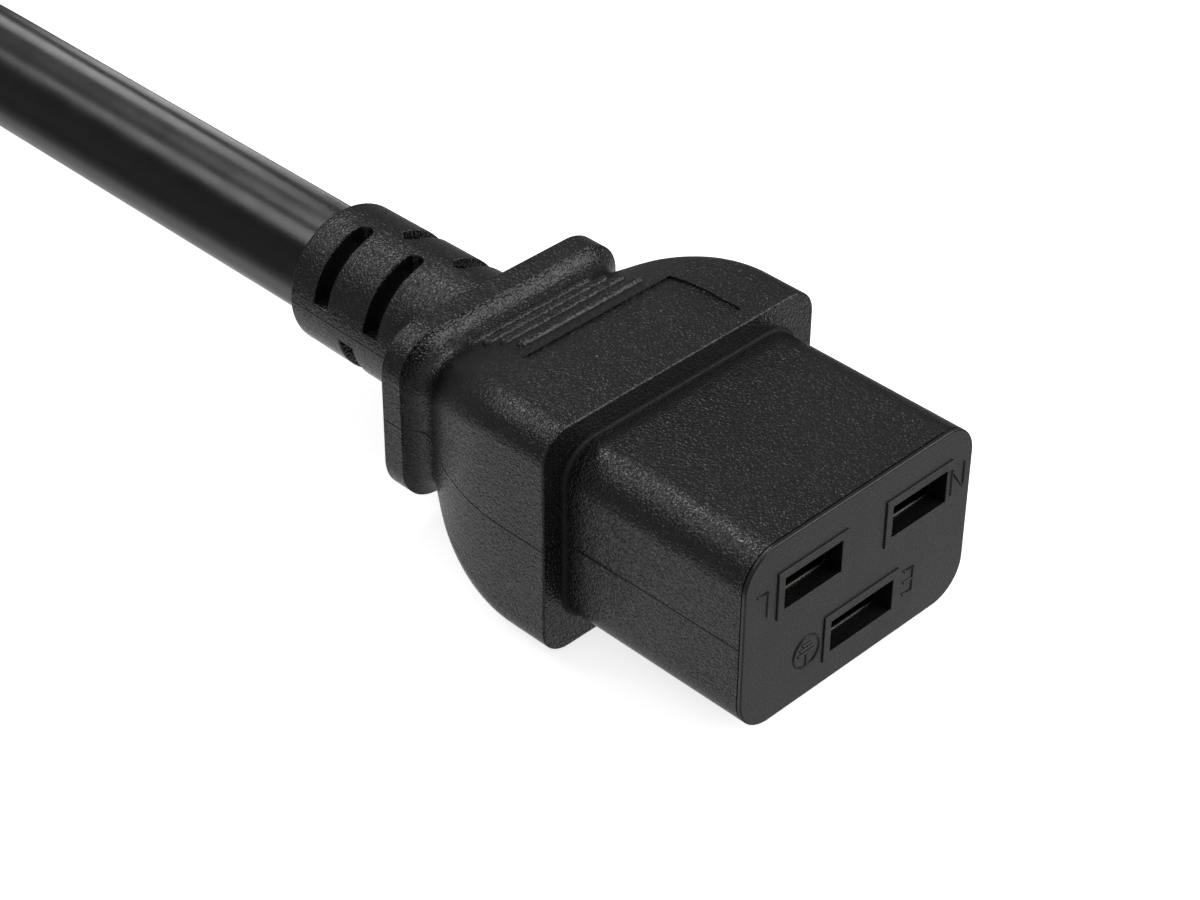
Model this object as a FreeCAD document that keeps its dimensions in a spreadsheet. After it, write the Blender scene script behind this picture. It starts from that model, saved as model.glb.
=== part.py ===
"""A C19 power connector moulded on the end of a 16 A jumper cord, with its C20 plug.

Every piece of the connector is modelled in the connector's own axes: X across the socket
face, Y from the face towards the cord, Z up, with the origin at the middle of the face.
Each body's Placement then stands the connector on its base, centred on the origin.
The plug at the cord's far end is modelled in the same way and stands beside the coil.
"""

import FreeCAD, Part
import math
import os

import Sketcher

# alias, value in mm (or degrees), what it is
SIZES = [
    ("nose_width", 27.7, "engagement nose, across"),
    ("nose_height", 18.1, "engagement nose, high"),
    ("nose_corner", 3.5, "corner radius of the nose"),
    ("nose_length", 20.0, "socket face to the step of the grip"),
    ("face_plate", 0.35, "rim of the contact carrier that shows round the skin"),
    ("skin_gap", 0.12, "groove between that rim and the skin"),
    ("skin_wall", 1.25, "skin round the contact carrier"),
    ("face_round", 0.15, "edge round of the socket face"),
    ("slot_spread", 13.0, "line slot to neutral slot"),
    ("slot_shift", 0.6, "slots stand this far to the neutral side"),
    ("slot_rise", 3.6, "line and neutral slots above the middle"),
    ("earth_drop", 8.0, "earth slot below the other two"),
    ("slot_width", 6.8, "line and neutral slot, across"),
    ("slot_height", 3.2, "every slot, high"),
    ("earth_width", 7.7, "earth slot, across"),
    ("mouth_depth", 1.65, "plastic mouth in front of each contact"),
    ("frame_margin", 0.77, "raised frame round each slot"),
    ("frame_height", 0.15, "that frame stands proud of the face"),
    ("frame_round", 0.06, "edges of the frame"),
    ("carrier_length", 19.2, "contact carrier, face to back"),
    ("retainer_thickness", 1.6, "plate that locks the contacts in"),
    ("sheet_thickness", 0.4, "contact strip"),
    ("contact_lip", 0.3, "strip edge that shows inside a slot"),
    ("sleeve_end", 17.6, "back edge of the contact sleeve, from the face"),
    ("leaf_width", 3.4, "spring leaf in the sleeve"),
    ("leaf_length", 9.0, "spring leaf, root to root"),
    ("leaf_bow", 0.55, "how far a leaf bows into the sleeve"),
    ("neck_width", 2.4, "strip between sleeve and crimps"),
    ("wire_crimp_start", 21.2, "front of the conductor crimp"),
    ("wire_crimp_length", 3.6, "conductor crimp"),
    ("grip_crimp_start", 25.6, "front of the insulation crimp"),
    ("grip_crimp_length", 2.4, "insulation crimp"),
    ("conductor_radius", 1.2, "stranded 3.3 square millimetre copper"),
    ("core_radius", 1.95, "insulated core"),
    ("core_gap", 0.08, "between two cores where they run into the jacket"),
    ("cord_radius", 5.45, "jacket of the cord"),
    ("inner_mould_width", 22.0, "inner mould, across its front"),
    ("inner_mould_height", 16.4, "inner mould, high at its front"),
    ("inner_mould_back_width", 16.0, "inner mould, across its back"),
    ("inner_mould_back_height", 11.2, "inner mould, high at its back"),
    ("inner_mould_corner", 3.0, "corner radius of the inner mould"),
    ("inner_mould_end", 38.0, "back of the inner mould, from the face"),
    ("core_run_in", 1.5, "crimp to a core's first bend"),
    ("core_run_out", 2.6, "a core's second bend to the jacket"),
    ("channel_clearance", 0.3, "round a crimp in its channel"),
    ("rim_width", 32.5, "grip at the step, across"),
    ("rim_height", 23.1, "grip at the step, high"),
    ("rim_corner", 2.9, "corner radius at the step"),
    ("edge_round", 0.2, "edges of the step and of the flange"),
    ("grip_straight", 5.0, "flat stretch of the grip behind the step"),
    ("grip_round", 22.0, "radius of the long shoulder towards the neck"),
    ("neck_round", 2.6, "radius of the hollow in front of the flange"),
    ("neck_position", 18.9, "step to the deepest point of the neck"),
    ("neck_corner", 3.9, "corner radius at the neck"),
    ("flange_run", 1.95, "deepest point of the neck to the flange's front edge"),
    ("flange_sweep", 0.9, "how round the neck climbs to the flange: 0 straight, 1 square"),
    ("flange_width", 26.3, "flange, across"),
    ("flange_height", 17.3, "flange, high"),
    ("flange_corner", 4.1, "corner radius of the flange"),
    ("flange_thickness", 2.4, "edge of the flange"),
    ("relief_length", 19.9, "strain relief behind the flange"),
    ("relief_front_radius", 7.15, "strain relief at the flange"),
    ("relief_back_radius", 6.95, "strain relief at its end"),
    ("relief_round", 0.5, "edge round at its end"),
    ("relief_slot_width", 1.85, "flex slot"),
    ("relief_slot_pitch", 6.8, "from one flex slot to the next behind it"),
    ("relief_slot_last", 15.55, "flange to the middle of the rearmost flex slots"),
    ("relief_slot_land", 1.2, "solid strip beside the parting line"),
    ("relief_slot_inset", 0.5, "round end of a slot from the middle"),
    ("relief_slot_round", 0.18, "edges of a slot's mouth"),
    ("rib_length", 14.8, "grip rib, end to end"),
    ("rib_radius", 0.5, "grip rib"),
    ("rib_sink", 0.1, "rib axis below the surface of the grip"),
    ("rib_first", 12.1, "step to the front rib"),
    ("rib_pitch", 2.1, "rib to rib, along the grip"),
    ("panel_width", 17.6, "shallow panel on top, across"),
    ("panel_front", 1.7, "step to the front edge of the panel"),
    ("panel_length", 8.4, "front to back edge of the panel"),
    ("panel_depth", 0.2, "panel floor below the grip's top"),
    ("shroud_gap", 0.35, "round a connector's nose in the plug's shroud"),
    ("shroud_depth", 20.5, "depth of the plug's shroud"),
    ("pin_width", 5.8, "flat pin, across"),
    ("pin_thickness", 2.0, "flat pin, high"),
    ("pin_length", 17.5, "pin in the shroud"),
    ("earth_pin_lead", 1.5, "the earth pin stands out this much further"),
    ("pin_tip", 0.6, "bevel at a pin's tip"),
    ("pin_root", 9.5, "pin inside its carrier and behind it"),
    ("pin_carrier_depth", 7.0, "pin carrier behind the shroud's floor"),
    ("pin_carrier_margin", 1.3, "carrier inside the shroud's walls"),
    ("coil_mean_radius", 57.5, "middle of the coil's turns"),
    ("coil_middle_x", 60.0, "middle of the coil, across"),
    ("coil_middle_y", 173.0, "middle of the coil, behind the connector"),
    ("coil_bundle", 21.8, "bundle of turns, across and high"),
    ("coil_bundle_round", 5.4, "rounding of the bundle"),
    ("tie_width", 13.0, "hook and loop tie, along the turns"),
    ("tie_thickness", 0.9, "tie strap"),
    ("tie_angle", 110.0, "where the tie sits round the coil, degrees"),
    ("lead_straight", 69.6, "straight stretch of cord behind the connector"),
    ("tail_straight", 36.15, "straight stretch of cord behind the plug"),
    ("cord_overlap", 2.0, "the cord's stretches end this far before the coil's side"),
    ("plug_x", 123.0, "middle of the plug, across"),
    ("plug_end_y", 99.0, "cord end of the plug's strain relief"),
]

doc = FreeCAD.newDocument("c19_connector")
sheet = doc.addObject("Spreadsheet::Sheet", "Size")
for row, (alias, number, meaning) in enumerate(SIZES, start=1):
    sheet.set("A%d" % row, meaning)
    sheet.set("B%d" % row, str(number))
    sheet.setAlias("B%d" % row, alias)
doc.recompute()

# places along the connector, from the socket face, as formulas of the sizes
STEP = "Size.nose_length"
GRIP_CURVE = "(Size.nose_length + Size.grip_straight)"
NECK = "(Size.nose_length + Size.neck_position)"
FLANGE_FRONT = "(%s + Size.flange_run)" % NECK
FLANGE_BACK = "(%s + Size.flange_thickness)" % FLANGE_FRONT
CORD_EXIT = "(%s + Size.relief_length)" % FLANGE_BACK
RETAINER_BACK = "(Size.carrier_length + Size.retainer_thickness)"

# how far the shoulder has drawn in: a large round that runs into the hollow of the neck
NECK_RUN = "(Size.neck_position - Size.grip_straight)"
ROUNDS = "(Size.grip_round + Size.neck_round)"
NECK_INSET = "(%s - sqrt(%s ^ 2 - %s ^ 2))" % (ROUNDS, ROUNDS, NECK_RUN)
MEETING = "(%s * Size.grip_round / %s)" % (NECK_RUN, ROUNDS)


def evaluate(formula):
    """The present value of a formula of the sheet's sizes."""
    return float(sheet.evalExpression(formula))


def shoulder_inset(run):
    """How far the shoulder has drawn in at a distance behind the grip's straight stretch."""
    return "(Size.grip_round - sqrt(Size.grip_round ^ 2 - %s ^ 2))" % run


def hollow_inset(run):
    """The same in the hollow, at a distance before its deepest point."""
    return "(%s - Size.neck_round + sqrt(Size.neck_round ^ 2 - %s ^ 2))" % (NECK_INSET, run)


def grip_inset(run):
    """The same at any distance from the grip's straight stretch to the neck."""
    ahead = "(%s - %s)" % (NECK_RUN, run)
    return "(%s < %s ? %s : %s)" % (run, MEETING, shoulder_inset(run), hollow_inset(ahead))


class Stand:
    """Where one moulding stands in the part: the formulas of its bodies' Placement."""

    def __init__(self, across, along, up):
        self.formulas = {"x": across, "y": along, "z": up}

    def place(self, item):
        for axis, formula in self.formulas.items():
            item.setExpression("Placement.Base." + axis, formula)


CONNECTOR = Stand("0", "(Size.frame_height - %s) / 2" % CORD_EXIT, "Size.rim_height / 2")
PLUG = Stand("Size.plug_x", "Size.plug_end_y - %s" % CORD_EXIT, "Size.rim_height / 2")


def origin_item(body, role):
    for item in body.Origin.OriginFeatures:
        if item.Role == role:
            return item
    raise ValueError("no origin item " + role)


def new_body(label, stand):
    body = doc.addObject("PartDesign::Body", label)
    body.Label = label
    stand.place(body)
    return body


def new_sketch(body, name, role, lift="0", across="0", up="0"):
    """A sketch on an origin plane of its body, moved in that plane and along its normal."""
    sketch = body.newObject("Sketcher::SketchObject", name)
    sketch.AttachmentSupport = (origin_item(body, role), [""])
    sketch.MapMode = "FlatFace"
    sketch.setExpression("AttachmentOffset.Base.x", across)
    sketch.setExpression("AttachmentOffset.Base.y", up)
    sketch.setExpression("AttachmentOffset.Base.z", lift)
    return sketch


def section(body, name, along, across="0", up="0"):
    """A sketch square to the cord's direction, at a distance from the socket face."""
    return new_sketch(body, name, "XZ_Plane", "-(%s)" % along, across, up)


def bind(sketch, constraint, name, formula):
    index = sketch.addConstraint(constraint)
    sketch.renameConstraint(index, name)
    sketch.setExpression("Constraints." + name, formula)


def draw_outline(sketch, points, bulges=(), smooth=()):
    """Closed outline of lines through the points; bulges gives a midpoint for each arc side.

    Sides listed in smooth run into the next side without a corner.
    """
    bulges = dict(bulges)
    count = len(points)
    ends = []
    for side in range(count):
        start = FreeCAD.Vector(*points[side], 0)
        end = FreeCAD.Vector(*points[(side + 1) % count], 0)
        if side in bulges:
            middle = FreeCAD.Vector(*bulges[side], 0)
            sketch.addGeometry(Part.Arc(start, middle, end), False)
        else:
            sketch.addGeometry(Part.LineSegment(start, end), False)
        forward = sketch.getPoint(side, 1).distanceToPoint(start) < 1e-6
        ends.append((1, 2) if forward else (2, 1))
    for side in range(count):
        after = (side + 1) % count
        kind = "Tangent" if side in smooth else "Coincident"
        sketch.addConstraint(Sketcher.Constraint(kind, side, ends[side][1], after, ends[after][0]))
    return ends


def draw_rectangle(sketch, width, height):
    """A rectangle round the sketch's origin."""
    half_x = evaluate(width) / 2
    half_y = evaluate(height) / 2
    corners = [(-half_x, -half_y), (half_x, -half_y), (half_x, half_y), (-half_x, half_y)]
    draw_outline(sketch, corners)
    sketch.addConstraint(Sketcher.Constraint("Horizontal", 0))
    sketch.addConstraint(Sketcher.Constraint("Vertical", 1))
    sketch.addConstraint(Sketcher.Constraint("Horizontal", 2))
    sketch.addConstraint(Sketcher.Constraint("Vertical", 3))
    sketch.addConstraint(Sketcher.Constraint("Symmetric", 0, 1, 2, 1, -1, 1))
    bind(sketch, Sketcher.Constraint("DistanceX", 0, 1, 0, 2, 2 * half_x), "width", width)
    bind(sketch, Sketcher.Constraint("DistanceY", 1, 1, 1, 2, 2 * half_y), "height", height)


def draw_rounded_rectangle(sketch, width, height, corner):
    """A rectangle round the sketch's origin with four equal tangent corners."""
    half_x = evaluate(width) / 2
    half_y = evaluate(height) / 2
    radius = evaluate(corner)
    reach_x = half_x - radius
    reach_y = half_y - radius
    sides = [
        ((-reach_x, -half_y), (reach_x, -half_y)),
        ((half_x, -reach_y), (half_x, reach_y)),
        ((reach_x, half_y), (-reach_x, half_y)),
        ((-half_x, reach_y), (-half_x, -reach_y)),
    ]
    middles = [(reach_x, -reach_y), (reach_x, reach_y), (-reach_x, reach_y), (-reach_x, -reach_y)]
    for side in range(4):
        start, end = sides[side]
        line = Part.LineSegment(FreeCAD.Vector(*start, 0), FreeCAD.Vector(*end, 0))
        sketch.addGeometry(line, False)
        circle = Part.Circle(FreeCAD.Vector(*middles[side], 0), FreeCAD.Vector(0, 0, 1), radius)
        turn = (side - 1) * math.pi / 2
        sketch.addGeometry(Part.ArcOfCircle(circle, turn, turn + math.pi / 2), False)
    for side in range(4):
        line = 2 * side
        arc = line + 1
        next_line = (line + 2) % 8
        sketch.addConstraint(Sketcher.Constraint("Tangent", line, 2, arc, 1))
        sketch.addConstraint(Sketcher.Constraint("Tangent", arc, 2, next_line, 1))
    sketch.addConstraint(Sketcher.Constraint("Horizontal", 0))
    sketch.addConstraint(Sketcher.Constraint("Vertical", 2))
    sketch.addConstraint(Sketcher.Constraint("Horizontal", 4))
    sketch.addConstraint(Sketcher.Constraint("Vertical", 6))
    for arc in (3, 5, 7):
        sketch.addConstraint(Sketcher.Constraint("Equal", 1, arc))
    sketch.addConstraint(Sketcher.Constraint("Symmetric", 3, 3, 7, 3, -1, 1))
    bind(sketch, Sketcher.Constraint("DistanceX", 6, 1, 2, 1, 2 * half_x), "width", width)
    bind(sketch, Sketcher.Constraint("DistanceY", 0, 1, 4, 1, 2 * half_y), "height", height)
    bind(sketch, Sketcher.Constraint("Radius", 1, radius), "corner", corner)


def draw_circle(sketch, radius):
    number = evaluate(radius)
    circle = Part.Circle(FreeCAD.Vector(0, 0, 0), FreeCAD.Vector(0, 0, 1), number)
    sketch.addGeometry(circle, False)
    sketch.addConstraint(Sketcher.Constraint("Coincident", 0, 3, -1, 1))
    bind(sketch, Sketcher.Constraint("Radius", 0, number), "radius", radius)


def feature(body, kind, name, sketch, length, backwards):
    """A Pad or Pocket of a section sketch; backwards is away from the socket face."""
    item = body.newObject("PartDesign::" + kind, name)
    item.Profile = sketch
    item.Reversed = backwards
    item.setExpression("Length", length)
    sketch.Visibility = False
    return item


def pad(body, name, sketch, length):
    return feature(body, "Pad", name, sketch, length, True)


def pocket(body, name, sketch, length):
    return feature(body, "Pocket", name, sketch, length, False)


def loft(body, kind, name, sketches, ruled):
    item = body.newObject("PartDesign::" + kind, name)
    item.Profile = sketches[0]
    item.Sections = sketches[1:]
    item.Ruled = ruled
    return item


def draw_polygon(sketch, places, bulges=()):
    """Closed outline whose corners are tied to formulas for their distances from the origin.

    places holds one pair of formulas for each corner. bulges gives, for an arc side, the
    formulas of its midpoint and of its radius.
    """
    bulges = dict(bulges)
    points = [(evaluate(across), evaluate(up)) for across, up in places]
    middles = {side: (evaluate(arc[0]), evaluate(arc[1])) for side, arc in bulges.items()}
    ends = draw_outline(sketch, points, middles)
    for side, place in enumerate(places):
        for kind, axis, formula in zip(("DistanceX", "DistanceY"), "xy", place):
            constraint = Sketcher.Constraint(kind, -1, 1, side, ends[side][0], evaluate(formula))
            bind(sketch, constraint, "%s%d" % (axis, side), formula)
    for side, arc in bulges.items():
        constraint = Sketcher.Constraint("Radius", side, evaluate(arc[2]))
        bind(sketch, constraint, "round%d" % side, arc[2])


def round_edges(body, name, base, along, radius):
    """Rounds every edge of the base feature that lies at one distance from the socket face."""
    doc.recompute()
    level = evaluate(along)
    names = []
    for number, edge in enumerate(base.Shape.Edges, start=1):
        box = edge.BoundBox
        if abs(box.YMin - level) < 1e-5 and abs(box.YMax - level) < 1e-5:
            names.append("Edge%d" % number)
    item = body.newObject("PartDesign::Fillet", name)
    item.Base = (base, names)
    item.setExpression("Radius", radius)
    return item


# ---------------------------------------------------------------- the moulded grip


def grip_section(body, name, along, width_inset, height_inset, corner):
    sketch = section(body, name, along)
    width = "Size.rim_width - 2 * %s" % width_inset
    height = "Size.rim_height - 2 * %s" % height_inset
    draw_rounded_rectangle(sketch, width, height, corner)
    return sketch


def grip_stations():
    """Distance from the socket face, both insets and corner radius, from shoulder to flange."""
    runs = ["(%s * %s)" % (MEETING, share) for share in (0, 0.06, 0.16, 0.32, 0.55, 0.78, 1)]
    insets = [shoulder_inset(run) for run in runs]
    ahead = "((%s - %s) / 2)" % (NECK_RUN, MEETING)
    runs += ["(%s - %s)" % (NECK_RUN, ahead), NECK_RUN]
    insets += [hollow_inset(ahead), NECK_INSET]
    corner = "(Size.rim_corner + (Size.neck_corner - Size.rim_corner) * %s / " + NECK_RUN + ")"
    stations = []
    for run, inset in zip(runs, insets):
        stations.append(("(%s + %s)" % (GRIP_CURVE, run), inset, inset, corner % run))
    rise = "(%s - (%s - %s) / 2)"
    rises = [
        rise % (NECK_INSET, "Size.rim_width", "Size.flange_width"),
        rise % (NECK_INSET, "Size.rim_height", "Size.flange_height"),
    ]
    climb = "(1 - sqrt(1 - (Size.flange_sweep * %s) ^ 2)) / (1 - sqrt(1 - Size.flange_sweep ^ 2))"
    corner = "(Size.neck_corner + (Size.flange_corner - Size.neck_corner) * %s)"
    for share in (0.3, 0.55, 0.75, 0.9, 1):
        along = "(%s + Size.flange_run * %s)" % (NECK, share)
        insets = ["(%s - %s * %s)" % (NECK_INSET, rise, climb % share) for rise in rises]
        stations.append((along, insets[0], insets[1], corner % share))
    return stations


def add_grip(body):
    """Shoulder, neck and flange: one flat band, one smooth loft and one plate."""
    flat = section(body, "grip_flat_outline", STEP)
    draw_rounded_rectangle(flat, "Size.rim_width", "Size.rim_height", "Size.rim_corner")
    flat_pad = pad(body, "grip_flat", flat, "Size.grip_straight")
    if body.Label == "overmould_housing":
        round_edges(body, "step_edges", flat_pad, STEP, "Size.edge_round")
    sections = []
    for number, station in enumerate(grip_stations()):
        sections.append(grip_section(body, "grip_section_%d" % number, *station))
    loft(body, "AdditiveLoft", "grip_shoulder_and_neck", sections, False)
    plate = section(body, "flange_outline", FLANGE_FRONT)
    draw_rounded_rectangle(plate, "Size.flange_width", "Size.flange_height", "Size.flange_corner")
    flange = pad(body, "flange", plate, "Size.flange_thickness")
    round_edges(body, "flange_edge", flange, FLANGE_BACK, "Size.edge_round")


def add_relief(body):
    """Strain relief turned about the cord's axis, with a rounded end."""
    sketch = new_sketch(body, "relief_profile", "YZ_Plane")
    inside = "Size.relief_round * (1 - sqrt(0.5))"
    draw_polygon(
        sketch,
        [
            (NECK, "0"),
            (CORD_EXIT, "0"),
            (CORD_EXIT, "Size.relief_back_radius - Size.relief_round"),
            (CORD_EXIT + " - Size.relief_round", "Size.relief_back_radius"),
            (FLANGE_BACK, "Size.relief_front_radius"),
            (NECK, "Size.relief_front_radius"),
        ],
        {2: (CORD_EXIT + " - " + inside, "Size.relief_back_radius - " + inside, "Size.relief_round")},
    )
    turned = body.newObject("PartDesign::Revolution", "strain_relief")
    turned.Profile = sketch
    turned.ReferenceAxis = (origin_item(body, "Y_Axis"), [""])
    turned.Angle = 360


def flex_slot(body, name, side, level):
    """One flex slot seen from above or below: open to the side, round at its inner end."""
    stagger = "0" if side != level else "Size.relief_slot_pitch / 2"
    along = "(%s + Size.relief_slot_last - %s)" % (FLANGE_BACK, stagger)
    sketch = new_sketch(body, name + "_outline", "XY_Plane", "%d * Size.relief_slot_land" % level)
    half = "Size.relief_slot_width / 2"
    outer = "%d * (Size.relief_front_radius + Size.relief_back_radius)" % side
    centre = "%d * (Size.relief_slot_inset + %s)" % (side, half)
    reach = [evaluate(outer), evaluate(centre), evaluate(along), evaluate(half)]
    outer_x, centre_x, middle_y, half_y = reach
    tip_x = centre_x - side * half_y
    low = middle_y - half_y
    high = middle_y + half_y
    draw_outline(
        sketch,
        [(outer_x, low), (outer_x, high), (centre_x, high), (centre_x, low)],
        {2: (tip_x, middle_y)},
        smooth=(1, 2),
    )
    sketch.addConstraint(Sketcher.Constraint("Vertical", 0))
    sketch.addConstraint(Sketcher.Constraint("Horizontal", 1))
    sketch.addConstraint(Sketcher.Constraint("Horizontal", 3))
    bind(sketch, Sketcher.Constraint("Radius", 2, half_y), "end_radius", half)
    bind(sketch, Sketcher.Constraint("DistanceX", -1, 1, 0, 1, outer_x), "reach", outer)
    bind(sketch, Sketcher.Constraint("DistanceX", -1, 1, 2, 3, centre_x), "middle_x", centre)
    bind(sketch, Sketcher.Constraint("DistanceY", -1, 1, 2, 3, middle_y), "middle_y", along)
    cut = body.newObject("PartDesign::Pocket", name)
    cut.Profile = sketch
    cut.setExpression("Length", "Size.relief_front_radius + Size.relief_back_radius")
    cut.Reversed = level > 0
    return cut


def add_flex_slots(body):
    """Four staggered slots, one in each quarter, repeated one pitch nearer the flange."""
    slots = []
    for side in (-1, 1):
        for level in (1, -1):
            name = "flex_slot_%s_%s" % ("left" if side < 0 else "right", "top" if level > 0 else "under")
            slots.append(flex_slot(body, name, side, level))
    doc.recompute()
    rows = body.newObject("PartDesign::LinearPattern", "flex_slot_rows")
    rows.Originals = slots
    rows.Direction = (origin_item(body, "Y_Axis"), [""])
    rows.Reversed = True
    rows.setExpression("Length", "Size.relief_slot_pitch")
    rows.Occurrences = 2
    body.Tip = rows
    doc.recompute()
    round_slot_mouths(body, rows)


def round_slot_mouths(body, rows):
    """Rounds the edges where the flex slots break through the strain relief's skin."""
    front = evaluate(FLANGE_BACK + " + Size.relief_slot_land")
    back = evaluate(CORD_EXIT + " - Size.relief_round") - 0.01
    skin = min(evaluate("Size.relief_front_radius"), evaluate("Size.relief_back_radius")) - 0.01
    names = []
    for number, edge in enumerate(rows.Shape.Edges, start=1):
        box = edge.BoundBox
        places = edge.discretize(5)
        shallow = min(math.hypot(place.x, place.z) for place in places) < skin
        if box.YMin < front or box.YMax > back or shallow:
            continue
        names.append("Edge%d" % number)
    item = body.newObject("PartDesign::Fillet", "slot_mouths")
    item.Base = (rows, names)
    item.setExpression("Radius", "Size.relief_slot_round")


RIBS = 4


def add_rib(body, name, run, side):
    """A round-ended finger rib across the grip, on top (side 1) or underneath (-1)."""
    up = "(%d * (Size.rim_height / 2 - %s - Size.rib_sink))" % (side, grip_inset(run))
    sketch = new_sketch(body, name + "_outline", "XY_Plane", up, "0", "(%s + %s)" % (GRIP_CURVE, run))
    half = evaluate("Size.rib_length") / 2
    radius = evaluate("Size.rib_radius")
    points = [(-half, 0), (half, 0), (half - radius, radius), (-half + radius, radius)]
    root = math.sqrt(0.5) * radius
    bulges = {
        1: (half - radius + root, root),
        3: (-half + radius - root, root),
    }
    draw_outline(sketch, points, bulges, smooth=(1, 2))
    sketch.addConstraint(Sketcher.Constraint("Symmetric", 0, 1, 0, 2, -1, 1))
    sketch.addConstraint(Sketcher.Constraint("Horizontal", 0))
    sketch.addConstraint(Sketcher.Constraint("PointOnObject", 1, 3, 0))
    sketch.addConstraint(Sketcher.Constraint("PointOnObject", 3, 3, 0))
    sketch.addConstraint(Sketcher.Constraint("Equal", 1, 3))
    bind(sketch, Sketcher.Constraint("Radius", 1, radius), "radius", "Size.rib_radius")
    bind(sketch, Sketcher.Constraint("DistanceX", 0, 1, 0, 2, 2 * half), "length", "Size.rib_length")
    rib = body.newObject("PartDesign::Revolution", name)
    rib.Profile = sketch
    rib.ReferenceAxis = (sketch, ["H_Axis"])
    rib.Angle = 360


def add_ribs(body):
    """The same finger ribs on both faces, each one seated on the curve of the grip."""
    for number in range(RIBS):
        run = "(Size.rib_first - Size.grip_straight + %d * Size.rib_pitch)" % number
        add_rib(body, "top_rib_%d" % number, run, 1)
        add_rib(body, "under_rib_%d" % number, run, -1)


# ---------------------------------------------------------------- pieces of the connector

CARRIER_WIDTH = "(Size.nose_width - 2 * Size.skin_wall)"
CARRIER_HEIGHT = "(Size.nose_height - 2 * Size.skin_wall)"
CARRIER_CORNER = "(Size.nose_corner - Size.skin_wall)"
SKIN_START = "(Size.face_plate + Size.skin_gap)"

# name of the pole, middle of its slot across and up, width of its slot
POLES = [
    ("line", "(Size.slot_shift - Size.slot_spread / 2)", "Size.slot_rise", "Size.slot_width"),
    ("neutral", "(Size.slot_shift + Size.slot_spread / 2)", "Size.slot_rise", "Size.slot_width"),
    ("earth", "Size.slot_shift", "(Size.slot_rise - Size.earth_drop)", "Size.earth_width"),
]
SLEEVE_MARGIN = "(2 * Size.sheet_thickness - 2 * Size.contact_lip)"


def inner_mould_loft(body, kind, start):
    """The tapered block round the crimps, solid or as a hollow."""
    front = section(body, kind + "_front", start)
    draw_rounded_rectangle(
        front, "Size.inner_mould_width", "Size.inner_mould_height", "Size.inner_mould_corner"
    )
    back = section(body, kind + "_back", "Size.inner_mould_end")
    draw_rounded_rectangle(
        back,
        "Size.inner_mould_back_width",
        "Size.inner_mould_back_height",
        "Size.inner_mould_corner",
    )
    return loft(body, kind, kind.lower() + "_block", [front, back], True)


def add_panel(body):
    """Shallow panel on top of the grip, as deep everywhere on the flat and on the curve."""
    sketch = new_sketch(body, "panel_profile", "YZ_Plane")
    front = "(%s + Size.panel_front)" % STEP
    back = "(%s + Size.panel_length)" % front
    top = "(Size.rim_height / 2)"
    floor = "(%s - Size.panel_depth)" % top
    curve = "(Size.grip_round - Size.panel_depth)"
    middle = "(%s - Size.grip_round)" % top
    reach = "(%s - %s)" % (back, GRIP_CURVE)
    height = "(%s + sqrt(%s ^ 2 - %s ^ 2))"
    half_way = "(%s * sin(asin(%s / %s) / 2))" % (curve, reach, curve)
    draw_polygon(
        sketch,
        [
            (front, floor),
            (GRIP_CURVE, floor),
            (back, height % (middle, curve, reach)),
            (back, top + " + 1"),
            (front, top + " + 1"),
        ],
        {1: ("%s + %s" % (GRIP_CURVE, half_way), height % (middle, curve, half_way), curve)},
    )
    panel = body.newObject("PartDesign::Pocket", "panel")
    panel.Profile = sketch
    panel.Midplane = True
    panel.setExpression("Length", "Size.panel_width")


def make_housing():
    """Skin of the nose, grip, flange and strain relief, moulded in one shot."""
    body = new_body("overmould_housing", CONNECTOR)
    nose = section(body, "nose_outline", SKIN_START)
    draw_rounded_rectangle(nose, "Size.nose_width", "Size.nose_height", "Size.nose_corner")
    pad(body, "nose", nose, "%s + 1 - %s" % (STEP, SKIN_START))
    add_grip(body)
    add_relief(body)
    add_flex_slots(body)
    add_ribs(body)
    add_panel(body)
    hollow = section(body, "carrier_hollow_outline", SKIN_START)
    draw_rounded_rectangle(hollow, CARRIER_WIDTH, CARRIER_HEIGHT, CARRIER_CORNER)
    pocket(body, "carrier_hollow", hollow, "%s - %s" % (RETAINER_BACK, SKIN_START))
    inner_mould_loft(body, "SubtractiveLoft", RETAINER_BACK)
    bore = section(body, "cord_bore_outline", "Size.inner_mould_end")
    draw_circle(bore, "Size.cord_radius")
    pocket(body, "cord_bore", bore, "%s - Size.inner_mould_end" % CORD_EXIT)
    return body


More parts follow.
